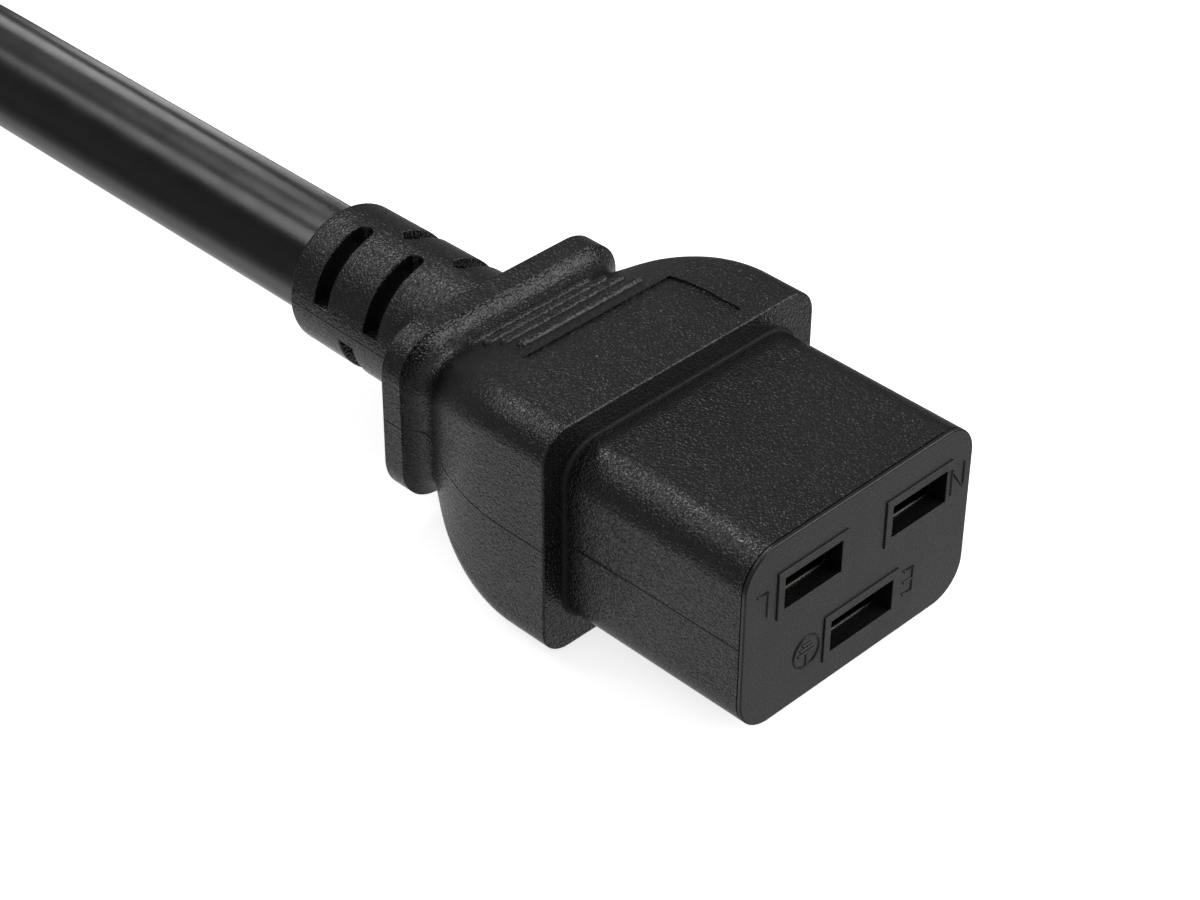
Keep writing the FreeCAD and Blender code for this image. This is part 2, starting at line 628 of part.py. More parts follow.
def make_carrier():
    """Moulded block that holds the three contacts; its front is the socket face."""
    body = new_body("contact_carrier", CONNECTOR)
    plate = section(body, "face_outline", "0")
    draw_rounded_rectangle(plate, "Size.nose_width", "Size.nose_height", "Size.nose_corner")
    face = pad(body, "face", plate, "Size.face_plate")
    round_edges(body, "face_edge", face, "0", "Size.face_round")
    block = section(body, "block_outline", "Size.face_plate / 2")
    draw_rounded_rectangle(block, CARRIER_WIDTH, CARRIER_HEIGHT, CARRIER_CORNER)
    pad(body, "block", block, "Size.carrier_length - Size.face_plate / 2")
    for pole, across, up, width in POLES:
        frame = section(body, pole + "_frame_outline", "0", across, up)
        draw_rectangle(frame, width + " + 2 * Size.frame_margin", "Size.slot_height + 2 * Size.frame_margin")
        feature(body, "Pad", pole + "_frame", frame, "Size.frame_height", False)
    for pole, across, up, width in POLES:
        mouth = section(body, pole + "_mouth_outline", "-Size.frame_height", across, up)
        draw_rectangle(mouth, width, "Size.slot_height")
        last = pocket(body, pole + "_mouth", mouth, "Size.frame_height + Size.mouth_depth")
    round_edges(body, "frame_edges", last, "-Size.frame_height", "Size.frame_round")
    for pole, across, up, width in POLES:
        cell = section(body, pole + "_cell_outline", "Size.mouth_depth", across, up)
        draw_rectangle(
            cell, width + " + " + SLEEVE_MARGIN, "Size.slot_height + " + SLEEVE_MARGIN
        )
        pocket(body, pole + "_cell", cell, "Size.carrier_length - Size.mouth_depth")
    return body


def make_retainer():
    """Plate behind the carrier that keeps the contacts from backing out."""
    body = new_body("contact_retainer", CONNECTOR)
    outline = section(body, "outline", "Size.carrier_length")
    draw_rounded_rectangle(outline, CARRIER_WIDTH, CARRIER_HEIGHT, CARRIER_CORNER)
    pad(body, "plate", outline, "Size.retainer_thickness")
    for pole, across, up, width in POLES:
        hole = section(body, pole + "_hole_outline", "Size.carrier_length", across, up)
        draw_rectangle(
            hole,
            "Size.neck_width + 2 * Size.channel_clearance",
            "Size.slot_height + 2 * Size.sheet_thickness",
        )
        pocket(body, pole + "_hole", hole, "Size.retainer_thickness")
    return body


def make_contact(pole, across, up, width):
    """One contact: box sleeve with two spring leaves, neck strip and two crimps."""
    body = new_body(pole + "_contact", CONNECTOR)
    outer = section(body, "sleeve_outline", "Size.mouth_depth", across, up)
    draw_rectangle(outer, width + " + " + SLEEVE_MARGIN, "Size.slot_height + " + SLEEVE_MARGIN)
    pad(body, "sleeve", outer, "Size.sleeve_end - Size.mouth_depth")
    inner = section(body, "sleeve_hollow_outline", "Size.mouth_depth", across, up)
    inner_height = "Size.slot_height - 2 * Size.contact_lip"
    draw_rectangle(inner, width + " - 2 * Size.contact_lip", inner_height)
    pocket(body, "sleeve_hollow", inner, "Size.sleeve_end - Size.mouth_depth")
    half_gap = "(%s) / 2" % inner_height
    middle = "(Size.mouth_depth + Size.sleeve_end) / 2"
    for name, side in (("upper", 1), ("lower", -1)):
        leaf = new_sketch(body, name + "_leaf_profile", "YZ_Plane", across)
        draw_leaf(leaf, middle, up, half_gap, side)
        strip = body.newObject("PartDesign::Pad", name + "_leaf")
        strip.Profile = leaf
        strip.Midplane = True
        strip.setExpression("Length", "Size.leaf_width")
    floor = "(%s - %s - Size.sheet_thickness / 2)" % (up, half_gap)
    neck = section(body, "neck_outline", "Size.sleeve_end - 1", across, floor)
    draw_rectangle(neck, "Size.neck_width", "Size.sheet_thickness")
    pad(body, "neck", neck, "Size.grip_crimp_start - Size.sleeve_end + 1")
    drop_top = "(%s - %s)" % (up, half_gap)
    drop_bottom = "(%s - Size.core_radius - Size.sheet_thickness)" % up
    drop = section(body, "drop_outline", "Size.grip_crimp_start - Size.sheet_thickness", across,
                   "(%s + %s) / 2" % (drop_top, drop_bottom))
    draw_rectangle(drop, "Size.neck_width", "%s - %s" % (drop_top, drop_bottom))
    pad(body, "drop", drop, "Size.sheet_thickness")
    for name, start, length, radius in (
        ("wire_crimp", "Size.wire_crimp_start", "Size.wire_crimp_length", "Size.conductor_radius"),
        ("grip_crimp", "Size.grip_crimp_start", "Size.grip_crimp_length", "Size.core_radius"),
    ):
        barrel = section(body, name + "_outline", start, across, up)
        draw_circle(barrel, radius + " + Size.sheet_thickness")
        pad(body, name, barrel, length)
    for name, start, end, radius in (
        ("wire_bore", "Size.wire_crimp_start", "Size.grip_crimp_start", "Size.conductor_radius"),
        ("grip_bore", "Size.grip_crimp_start", "Size.grip_crimp_start + Size.grip_crimp_length",
         "Size.core_radius"),
    ):
        bore = section(body, name + "_outline", start, across, up)
        draw_circle(bore, radius)
        pocket(body, name, bore, "%s - (%s)" % (end, start))
    return body


def draw_leaf(sketch, middle, up, half_gap, side):
    """A bowed leaf that springs from the sleeve's wall and back to it."""
    start = "(%s - Size.leaf_length / 2)" % middle
    end = "(%s + Size.leaf_length / 2)" % middle
    wall = "(%s + %d * (%s + Size.sheet_thickness / 2))" % (up, side, half_gap)
    crest = "(%s + %d * (%s - Size.leaf_bow))" % (up, side, half_gap)
    back = "(%s + %d * Size.sheet_thickness)" % (crest, side)
    radius = "(((Size.leaf_length / 2) ^ 2 + %s ^ 2) / (2 * %s))"
    deep = "(Size.leaf_bow + Size.sheet_thickness / 2)"
    shallow = "(Size.leaf_bow - Size.sheet_thickness / 2)"
    draw_polygon(
        sketch,
        [(start, wall), (end, wall)],
        {
            0: (middle, crest, radius % (deep, deep)),
            1: (middle, back, radius % (shallow, shallow)),
        },
    )


def make_inner_mould_block():
    """Inner mould round the crimps, with a channel for each of them."""
    body = new_body("inner_mould_blank", CONNECTOR)
    inner_mould_loft(body, "AdditiveLoft", RETAINER_BACK)
    grip_end = "(Size.grip_crimp_start + Size.grip_crimp_length)"
    for pole, across, up, width in POLES:
        channel = section(body, pole + "_channel_outline", RETAINER_BACK, across, up)
        draw_circle(channel, "Size.core_radius + Size.sheet_thickness + Size.channel_clearance")
        pocket(body, pole + "_channel", channel, "%s + Size.channel_clearance - %s" % (grip_end, RETAINER_BACK))
    return body


# ---------------------------------------------------------------- round wires along a route


def rounded_route(points):
    """Straight runs joined by tangent arcs as large as the runs on each side allow."""
    points = [FreeCAD.Vector(*point) for point in points]
    edges = []
    radii = []
    start = points[0]
    for before, corner, after in zip(points, points[1:], points[2:]):
        into = corner - before
        out = after - corner
        shorter = min(into.Length, out.Length)
        half_turn = into.getAngle(out) / 2
        into.normalize()
        out.normalize()
        radius = 0.45 * shorter / math.tan(half_turn)
        reach = 0.45 * shorter
        first = corner - into * reach
        last = corner + out * reach
        inward = (out - into).normalize()
        middle = corner + inward * (radius / math.cos(half_turn) - radius)
        edges.append(Part.LineSegment(start, first).toShape())
        edges.append(Part.Arc(first, middle, last).toShape())
        radii.append(radius)
        start = last
    edges.append(Part.LineSegment(start, points[-1]).toShape())
    return Part.Wire(edges), radii


def sweep_round(points, radius):
    """A solid round wire along a route, with the path and the radii of its bends."""
    path, radii = rounded_route(points)
    direction = FreeCAD.Vector(*points[1]) - FreeCAD.Vector(*points[0])
    ring = Part.Wire(Part.makeCircle(radius, FreeCAD.Vector(*points[0]), direction))
    return path.makePipeShell([ring], True, False), path, radii


def new_feature(label, shape):
    item = doc.addObject("Part::Feature", label)
    item.Label = label
    item.Shape = shape
    return item


def core_route(across, up, start):
    """From the middle of a crimp to this core's place in the bundle of three."""
    across = evaluate(across)
    up = evaluate(up)
    bundle = evaluate("2 * Size.core_radius + Size.core_gap") / math.sqrt(3)
    turn = {True: -90, False: 150 if across < 0 else 30}[up < 0]
    end_x = bundle * math.cos(math.radians(turn))
    end_z = bundle * math.sin(math.radians(turn))
    bend_start = evaluate("Size.grip_crimp_start + Size.grip_crimp_length + Size.core_run_in")
    bend_end = evaluate("Size.inner_mould_end - Size.core_run_out")
    return [
        (across, evaluate(start), up),
        (across, bend_start, up),
        (end_x, bend_end, end_z),
        (end_x, evaluate("Size.inner_mould_end"), end_z),
    ]


def make_cores():
    """Copper strands, their insulation and each core's full thickness, crimp to jacket."""
    strands = []
    sleeves = []
    thick = []
    for pole, across, up, width in POLES:
        copper_route = core_route(across, up, "Size.wire_crimp_start")
        copper, path, radii = sweep_round(copper_route, evaluate("Size.conductor_radius"))
        strands.append(new_feature(pole + "_conductor", copper))
        core_path = core_route(across, up, "Size.grip_crimp_start")
        core, path, radii = sweep_round(core_path, evaluate("Size.core_radius"))
        thick.append(new_feature(pole + "_core", core))
        sleeves.append(cut(pole + "_insulation", thick[-1], strands[-1]))
        CONNECTOR.place(strands[-1])
        CONNECTOR.place(thick[-1])
    return strands, sleeves, thick


def cut(label, base, tool):
    item = doc.addObject("Part::Cut", label)
    item.Label = label
    item.Base = base
    item.Tool = tool
    return item


def make_inner_mould(cores):
    """The inner mould's block with the cores' own paths taken out of it."""
    solid = make_inner_mould_block()
    names = ["without_line_core", "without_two_cores", "inner_mould"]
    for name, core in zip(names, cores):
        solid = cut(name, solid, core)
    return solid


def make_cord_end(label, stand, start):
    """Jacket of the cord inside a strain relief."""
    body = new_body(label, stand)
    sketch = section(body, "outline", start)
    draw_circle(sketch, "Size.cord_radius")
    pad(body, "jacket", sketch, "%s - %s" % (CORD_EXIT, start))
    return body


# ---------------------------------------------------------------- the free cord


def lead_route():
    """Out of the connector, straight, then down to the lowest and widest turn of the coil."""
    exit_y = evaluate("(%s + Size.frame_height) / 2" % CORD_EXIT)
    axis_z = evaluate("Size.rim_height / 2")
    turn_x = evaluate("Size.coil_middle_x - Size.coil_mean_radius - Size.cord_radius")
    turn_y = evaluate("Size.coil_middle_y - Size.cord_overlap")
    return [
        (0.0, exit_y, axis_z),
        (0.0, exit_y + evaluate("Size.lead_straight"), axis_z),
        (turn_x, turn_y, evaluate("Size.cord_radius")),
    ]


def tail_route():
    """Off the top of the coil and straight into the plug."""
    plug_x = evaluate("Size.plug_x")
    plug_y = evaluate("Size.plug_end_y")
    axis_z = evaluate("Size.rim_height / 2")
    turn_x = evaluate("Size.coil_middle_x + Size.coil_mean_radius + Size.cord_radius")
    turn_y = evaluate("Size.coil_middle_y - Size.cord_overlap")
    return [
        (turn_x, turn_y, evaluate("Size.coil_bundle - Size.cord_radius")),
        (plug_x, plug_y + evaluate("Size.tail_straight"), axis_z),
        (plug_x, plug_y, axis_z),
    ]


def make_cord():
    """The free cord: the stretch from the connector, the coil and the tail."""
    radius = evaluate("Size.cord_radius")
    tubes = []
    for label, route in (("cord_lead", lead_route()), ("cord_tail", tail_route())):
        solid, path, radii = sweep_round(route, radius)
        section_volume = math.pi * radius ** 2 * path.Length
        print(label, "length %.1f" % path.Length, "radii", ["%.0f" % r for r in radii],
              "volume ratio %.4f" % (solid.Volume / section_volume))
        tubes.append(new_feature(label, solid))
    coil = doc.addObject("PartDesign::Body", "cord_coil")
    coil.Label = "cord_coil"
    coil.setExpression("Placement.Base.x", "Size.coil_middle_x")
    coil.setExpression("Placement.Base.y", "Size.coil_middle_y")
    bundle = new_sketch(coil, "bundle", "XZ_Plane", "0", "Size.coil_mean_radius", "Size.coil_bundle / 2")
    draw_rounded_rectangle(bundle, "Size.coil_bundle", "Size.coil_bundle", "Size.coil_bundle_round")
    ring = coil.newObject("PartDesign::Revolution", "ring")
    ring.Profile = bundle
    ring.ReferenceAxis = (origin_item(coil, "Z_Axis"), [""])
    ring.Angle = 360
    return tubes, coil


def make_tie():
    """Hook and loop strap round the bundle of turns."""
    body = doc.addObject("PartDesign::Body", "coil_tie")
    body.Label = "coil_tie"
    for axis, middle, part in (("x", "Size.coil_middle_x", "cos"), ("y", "Size.coil_middle_y", "sin")):
        reach = "Size.coil_mean_radius * %s(Size.tie_angle * 1deg)" % part
        body.setExpression("Placement.Base." + axis, "%s + %s" % (middle, reach))
    body.setExpression("Placement.Rotation.Angle", "Size.tie_angle * 1deg")
    lift = "Size.coil_bundle / 2"
    for name, kind, extra in (("strap", "Pad", "2 * Size.tie_thickness"), ("opening", "Pocket", "0")):
        sketch = new_sketch(body, name + "_outline", "XZ_Plane", "0", "0", lift + " + Size.tie_thickness / 2")
        draw_rounded_rectangle(
            sketch,
            "Size.coil_bundle + " + extra,
            "Size.coil_bundle - Size.tie_thickness + " + extra,
            "Size.coil_bundle_round + %s / 2" % extra,
        )
        item = body.newObject("PartDesign::" + kind, name)
        item.Profile = sketch
        item.Midplane = True
        item.setExpression("Length", "Size.tie_width")
    return body


# ---------------------------------------------------------------- the plug at the far end

SHROUD_WIDTH = "(Size.nose_width + 2 * Size.shroud_gap)"
SHROUD_HEIGHT = "(Size.nose_height + 2 * Size.shroud_gap)"
SHROUD_CORNER = "(Size.nose_corner + Size.shroud_gap)"
PIN_CARRIER_WIDTH = "(%s - 2 * Size.pin_carrier_margin)" % SHROUD_WIDTH
PIN_CARRIER_HEIGHT = "(%s - 2 * Size.pin_carrier_margin)" % SHROUD_HEIGHT
PIN_CARRIER_CORNER = "(%s - Size.pin_carrier_margin)" % SHROUD_CORNER


def make_plug():
    """Shroud, grip, flange and strain relief of the C20 plug, moulded in one shot."""
    body = new_body("plug_overmould", PLUG)
    shroud = section(body, "shroud_outline", "0")
    draw_rounded_rectangle(shroud, "Size.rim_width", "Size.rim_height", "Size.rim_corner")
    pad(body, "shroud", shroud, STEP + " + 1")
    add_grip(body)
    add_relief(body)
    add_flex_slots(body)
    well = section(body, "well_outline", "0")
    draw_rounded_rectangle(well, SHROUD_WIDTH, SHROUD_HEIGHT, SHROUD_CORNER)
    pocket(body, "well", well, "Size.shroud_depth")
    seat = section(body, "carrier_seat_outline", "Size.shroud_depth")
    draw_rounded_rectangle(seat, PIN_CARRIER_WIDTH, PIN_CARRIER_HEIGHT, PIN_CARRIER_CORNER)
    pocket(body, "carrier_seat", seat, "Size.pin_carrier_depth")
    for pole, across, up, width in POLES:
        tail = section(body, pole + "_tail_outline", "Size.shroud_depth", "-%s" % across, up)
        draw_rectangle(tail, "Size.pin_width", "Size.pin_thickness")
        pocket(body, pole + "_tail", tail, "Size.pin_root")
    bore = section(body, "cord_bore_outline", NECK)
    draw_circle(bore, "Size.cord_radius")
    pocket(body, "cord_bore", bore, "%s - %s" % (CORD_EXIT, NECK))
    return body


def make_pin_carrier():
    body = new_body("plug_pin_carrier", PLUG)
    block = section(body, "block_outline", "Size.shroud_depth")
    draw_rounded_rectangle(block, PIN_CARRIER_WIDTH, PIN_CARRIER_HEIGHT, PIN_CARRIER_CORNER)
    pad(body, "block", block, "Size.pin_carrier_depth")
    for pole, across, up, width in POLES:
        hole = section(body, pole + "_hole_outline", "Size.shroud_depth", "-%s" % across, up)
        draw_rectangle(hole, "Size.pin_width", "Size.pin_thickness")
        pocket(body, pole + "_hole", hole, "Size.pin_carrier_depth")
    return body


def make_pin(pole, across, up):
    """A flat pin with a bevelled tip."""
    body = new_body("plug_%s_pin" % pole, PLUG)
    lead = "Size.earth_pin_lead" if pole == "earth" else "0"
    tip_at = "(Size.shroud_depth - Size.pin_length - %s)" % lead
    tip = section(body, "tip_outline", tip_at, "-%s" % across, up)
    draw_rectangle(tip, "Size.pin_width - 2 * Size.pin_tip", "Size.pin_thickness - 2 * Size.pin_tip")
    shoulder = section(body, "shoulder_outline", tip_at + " + Size.pin_tip", "-%s" % across, up)
    draw_rectangle(shoulder, "Size.pin_width", "Size.pin_thickness")
    loft(body, "AdditiveLoft", "tip", [tip, shoulder], True)
    blade = section(body, "blade_outline", tip_at + " + Size.pin_tip", "-%s" % across, up)
    draw_rectangle(blade, "Size.pin_width", "Size.pin_thickness")
    pad(body, "blade", blade, "Size.shroud_depth + Size.pin_root - %s - Size.pin_tip" % tip_at)
    return body


# ---------------------------------------------------------------- build, check and write

nodes = [make_housing(), make_carrier(), make_retainer()]
nodes += [make_contact(*pole) for pole in POLES]
conductors, insulations, cores = make_cores()
nodes += [make_inner_mould(cores)] + conductors + insulations
nodes.append(make_cord_end("cord_end", CONNECTOR, "Size.inner_mould_end"))
cord_tubes, cord_coil = make_cord()
nodes += cord_tubes + [cord_coil, make_tie()]
nodes += [make_plug(), make_pin_carrier()]
nodes += [make_pin(pole, across, up) for pole, across, up, width in POLES]
nodes.append(make_cord_end("plug_cord_end", PLUG, NECK))
doc.recompute()

for item in doc.Objects:
    if "Invalid" in item.State or "Error" in item.State:
        raise RuntimeError("%s did not build" % item.Label)
for node in nodes:
    shape = node.Shape
    if shape.isNull() or not shape.isValid() or len(shape.Solids) != 1:
        raise RuntimeError("%s is not one valid solid" % node.Label)

os.makedirs("parts", exist_ok=True)
for node in nodes:
    node.Shape.exportStep("parts/%s.step" % node.Label)
    print(node.Label, "volume %.1f" % node.Shape.Volume)
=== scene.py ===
"""The looks of a C19 power connector moulded on the end of a coiled 16 A jumper cord.

The connector stands on its base with its socket face towards -Y. Only the connector and the
first stretch of its cord are in the camera's view; the coil and the plug lie behind it. Lengths
are in metres and angles in degrees, unless a comment says otherwise.
"""

import math

import bmesh
import bpy
from mathutils import Matrix, Vector


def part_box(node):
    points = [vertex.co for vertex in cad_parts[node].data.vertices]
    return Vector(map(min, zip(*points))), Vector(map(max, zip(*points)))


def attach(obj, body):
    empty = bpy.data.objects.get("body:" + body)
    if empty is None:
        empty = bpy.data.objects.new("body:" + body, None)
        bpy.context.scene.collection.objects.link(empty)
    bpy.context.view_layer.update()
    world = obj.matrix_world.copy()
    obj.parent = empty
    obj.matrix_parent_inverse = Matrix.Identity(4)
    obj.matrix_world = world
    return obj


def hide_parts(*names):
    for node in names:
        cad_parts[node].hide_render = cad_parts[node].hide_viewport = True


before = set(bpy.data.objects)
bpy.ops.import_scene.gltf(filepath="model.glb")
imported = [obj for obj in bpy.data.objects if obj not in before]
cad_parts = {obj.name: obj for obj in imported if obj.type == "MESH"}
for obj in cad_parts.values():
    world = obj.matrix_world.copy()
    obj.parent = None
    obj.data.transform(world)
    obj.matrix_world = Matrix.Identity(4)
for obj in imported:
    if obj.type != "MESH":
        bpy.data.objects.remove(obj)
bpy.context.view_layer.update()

MM = 0.001

# how far the socket face and the frames round its slots stand out, in mm
FACE = 0.0
FRAME = 0.15

# the connector's own places, some read from the imported model and some given
FACE_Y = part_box("contact_carrier")[0].y + FRAME * MM
CONTACT_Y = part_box("line_contact")[0].y
AXIS_Z = sum(corner.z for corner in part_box("overmould_housing")) / 2
NOSE_HALF_WIDTH = 13.85 * MM
NOSE_HALF_HEIGHT = 9.05 * MM
NOSE_CORNER = 3.5 * MM
NOSE_LENGTH = 20.0 * MM
STEP_Y = FACE_Y + NOSE_LENGTH
CORD_RADIUS = (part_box("cord_end")[1].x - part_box("cord_end")[0].x) / 2

# the slots in the socket face: pole, mm across and up from its middle, mm wide
SLOTS = [("line", -5.9, 3.6, 6.8), ("neutral", 7.1, 3.6, 6.8), ("earth", 0.6, -4.4, 7.7)]
SLOT_HEIGHT = 3.2 * MM

# the cord's free stretches: out of the connector, and off the coil into the plug
LEAD_POINTS = [
    (0.0, 0.03165, 0.01155),
    (0.0, 0.066, 0.01155),
    (0.0, 0.106, 0.01155),
    (-0.00295, 0.171, 0.00545),
]
TAIL_POINTS = [
    (0.12295, 0.171, 0.01635),
    (0.123, 0.13515, 0.01155),
    (0.123, 0.099, 0.01155),
]

# the coil: two turns wide and two high, wound clockwise as seen from above
COIL_MIDDLE = (0.060, 0.173)
COIL_TURN = 0.0575
COIL_TURNS = 3.5
POINTS_PER_TURN = 16

# where the winding moves inwards, climbs to the upper layer and moves outwards again, as degrees
# turned at the start and the end of each passage
INWARDS = (305.0, 353.0)
UPWARDS = (610.0, 660.0)
OUTWARDS = (920.0, 968.0)


def smooth_step(value, start, end):
    """0 before start, 1 after end, and an even passage between them."""
    share = min(max((value - start) / (end - start), 0.0), 1.0)
    return share * share * (3.0 - 2.0 * share)


def rotation(degrees, axis):
    """A turn about one axis."""
    return Matrix.Rotation(math.radians(degrees), 4, axis)


def add_object(name, data):
    """A new object in the scene."""
    thing = bpy.data.objects.new(name, data)
    bpy.context.scene.collection.objects.link(thing)
    return thing


# ---------------------------------------------------------------- camera, floor and lights

# the camera's place, its turn to the right of straight on, its tilt down, and its roll; its lens
# and film are in mm
CAMERA_PLACE = (-0.14603, -0.14631, 0.16193)
CAMERA_TURN = 45.31
CAMERA_DOWN = 36.75
CAMERA_ROLL = 0.514
CAMERA_LENS = 88.0
CAMERA_FILM = 36.0
CAMERA_NEAREST = 0.01


def set_camera():
    """The camera stands to the left and in front, and looks down on the socket face."""
    data = bpy.data.cameras.new("camera")
    data.lens = CAMERA_LENS
    data.sensor_width = CAMERA_FILM
    data.clip_start = CAMERA_NEAREST
    camera = add_object("camera", data)
    aim = rotation(-CAMERA_TURN, "Z") @ rotation(90.0 - CAMERA_DOWN, "X")
    camera.matrix_world = Matrix.Translation(CAMERA_PLACE) @ aim @ rotation(CAMERA_ROLL, "Z")
    bpy.context.scene.camera = camera


# brightness of the room round the connector, as (degrees above the table, strength): a bright
# table top seen from close by, a dark room at eye level and a paler ceiling
ROOM_BANDS = [
    (-90.0, 0.4),
    (-52.0, 0.5),
    (-43.0, 1.15),
    (-37.0, 1.1),
    (-30.0, 0.55),
    (-20.0, 0.27),
    (14.0, 0.22),
    (29.0, 0.16),
    (38.0, 0.34),
    (60.0, 0.5),
]

# how those bands change with the way looked in, as its share along one axis at the start and the
# end of a change, and the value at each
FRONT_TO_BACK = (-0.5, 0.5, 0.63, 1.0)
FAR_BACK_SHADE = (0.6, 0.72, 0.0, 0.45)
BELOW_EYE_LEVEL = (-0.3, 0.0, 1.0, 0.0)
LEFT_WALL = (-0.75, -0.25, 1.4, 0.0)
ABOVE_TABLE = (-0.2, 0.1, 0.0, 1.0)
NOT_AT_BACK = (0.2, 0.55, 1.0, 0.0)

# softboxes, as name, degrees clockwise from the cord's way out, degrees up, degrees of roll,
# width, height, watts, and whether screens keep the light off everything but the cord
SOFTBOXES = [
    ("left_back_softbox", -26.0, 44.0, 0.0, 0.32, 0.28, 0.9, False),
    ("ceiling_softbox", 15.0, 57.0, 0.0, 0.3, 0.26, 1.6, False),
    ("right_back_softbox", 33.5, 26.0, -32.0, 0.15, 0.29, 0.42, True),
    ("low_strip_softbox", 43.0, -4.0, 0.0, 0.13, 0.42, 0.2, True),
    ("right_front_softbox", 140.0, 34.0, 0.0, 0.9, 0.9, 7.5, False),
]
SOFTBOX_REACH = 1.0

FLOOR_HALF = 3.0


def add_softbox(name, turned, raised, rolled, width, height, watts):
    """A soft light that looks at the connector from one direction."""
    data = bpy.data.lights.new(name, "AREA")
    data.shape = "RECTANGLE"
    data.size = width
    data.size_y = height
    data.energy = watts
    turned, raised = math.radians(turned), math.radians(raised)
    way = Vector((math.sin(turned), math.cos(turned), 0.0)) * math.cos(raised)
    way.z = math.sin(raised)
    lamp = add_object(name, data)
    lamp.location = SOFTBOX_REACH * way
    facing = way.to_track_quat("Z", "Y").to_matrix().to_4x4()
    lamp.rotation_euler = (facing @ rotation(rolled, "Z")).to_euler()
    return lamp


def room_bands(tree, up):
    """The room's brightness in soft bands one above another."""
    height = calculate(tree, "MULTIPLY_ADD", up, 0.5, 0.5)
    bands = add_node(tree, "ShaderNodeValToRGB", None, {"Fac": height})
    ramp = bands.color_ramp
    while len(ramp.elements) < len(ROOM_BANDS):
        ramp.elements.new(0.5)
    for stop, (raised, strength) in zip(ramp.elements, ROOM_BANDS):
        stop.position = 0.5 + 0.5 * math.sin(math.radians(raised))
        stop.color = (strength, strength, strength, 1.0)
    return bands.outputs["Color"]


def room_strength(tree, across, along, up):
    """How strong the bands are in each direction.

    The room is dimmer in front, and the table is dimmer far behind. A paler wall on the left and
    in front lights the tops for whoever stands on the right.
    """
    room = map_value(tree, along, *FRONT_TO_BACK)
    far = map_value(tree, along, *FAR_BACK_SHADE)
    shade = calculate(tree, "MULTIPLY", far, map_value(tree, up, *BELOW_EYE_LEVEL))
    wall = map_value(tree, across, *LEFT_WALL)
    for limit in (map_value(tree, up, *ABOVE_TABLE), map_value(tree, along, *NOT_AT_BACK)):
        wall = calculate(tree, "MULTIPLY", wall, limit)
    return calculate(tree, "ADD", calculate(tree, "SUBTRACT", room, shade), wall)


def light_studio(cord):
    """The room's own light, and the softboxes."""
    world = bpy.data.worlds.new("studio")
    world.use_nodes = True
    tree = world.node_tree
    background = tree.nodes["Background"]
    direction = add_node(tree, "ShaderNodeTexCoord").outputs["Generated"]
    across, along, up = split_axes(tree, direction)
    feed(tree, background.inputs["Color"], room_bands(tree, up))
    feed(tree, background.inputs["Strength"], room_strength(tree, across, along, up))
    bpy.context.scene.world = world
    lit = bpy.data.collections.new("lit_cord")
    lit.objects.link(cord)
    # in the lights for the cord alone, the coil casts no shade on the cord in front of it
    unshaded = bpy.data.collections.new("unshaded_cord")
    unshaded.objects.link(cord)
    unshaded.collection_objects[0].light_linking.link_state = "EXCLUDE"
    for *softbox, cord_alone in SOFTBOXES:
        lamp = add_softbox(*softbox)
        if cord_alone:
            lamp.light_linking.receiver_collection = lit
            lamp.light_linking.blocker_collection = unshaded


def lay_floor():
    """A plain pale floor under the whole cord."""
    mesh = bpy.data.meshes.new("floor")
    shape = bmesh.new()
    bmesh.ops.create_grid(shape, x_segments=1, y_segments=1, size=FLOOR_HALF)
    shape.to_mesh(mesh)
    shape.free()
    mesh.materials.append(floor_paint())
    floor = add_object("floor", mesh)
    # the gloss of the black mouldings mirrors the room's bands, not this sheet
    floor.visible_glossy = False
    floor.visible_diffuse = False
    floor.visible_shadow = False


# ---------------------------------------------------------------- the cord and its strap


def coil_points():
    """The coil's own points, from where the lead meets it to where the tail leaves it.

    The cord winds low and outside, low and inside, high and inside, and high and outside, for a
    little under a turn each. Each passage happens where the place beside it is still free.
    """
    outer = COIL_TURN + CORD_RADIUS
    inner = COIL_TURN - CORD_RADIUS
    low = CORD_RADIUS
    high = 3.0 * CORD_RADIUS
    step = 360.0 / POINTS_PER_TURN
    # the curve runs inside its own points, so these stand a little outside the turns
    spread = 1.0 / math.cos(math.radians(step / 2.0))
    points = []
    for number in range(round(COIL_TURNS * POINTS_PER_TURN)):
        turned = (number + 0.5) * step
        inward = smooth_step(turned, *INWARDS) - smooth_step(turned, *OUTWARDS)
        radius = (outer + (inner - outer) * inward) * spread
        height = low + (high - low) * smooth_step(turned, *UPWARDS)
        angle = math.radians(180.0 - turned)
        x = COIL_MIDDLE[0] + radius * math.cos(angle)
        y = COIL_MIDDLE[1] + radius * math.sin(angle)
        points.append((x, y, height))
    return points


def make_cord(strap, jacket):
    """One round cord from the connector through the coil to the plug."""
    curve = bpy.data.curves.new("cord", "CURVE")
    curve.dimensions = "3D"
    curve.resolution_u = 12
    curve.bevel_depth = CORD_RADIUS
    curve.bevel_resolution = 10
    points = LEAD_POINTS + coil_points() + TAIL_POINTS
    spline = curve.splines.new("NURBS")
    spline.points.add(len(points) - 1)
    for control, place in zip(spline.points, points):
        control.co = (*place, 1.0)
    spline.order_u = 3
    spline.use_endpoint_u = True
    spline.use_smooth = True
    curve.materials.append(jacket)
    cord = add_object("cord", curve)
    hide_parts("cord_lead", "cord_coil", "cord_tail")
    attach(cord, "root")
    return cord


STRAP_THICKNESS = 0.9 * MM
STRAP_WIDTH = 13.0 * MM

# how far the strap starts before the middle of its top and ends past it, with its outer end over
# its inner one, and where it climbs onto that, as lengths before the inner end
STRAP_START = 9.0 * MM
STRAP_END = 7.0 * MM
STRAP_CLIMB = (5.0 * MM, 0.5 * MM)
STRAP_STEPS = 160

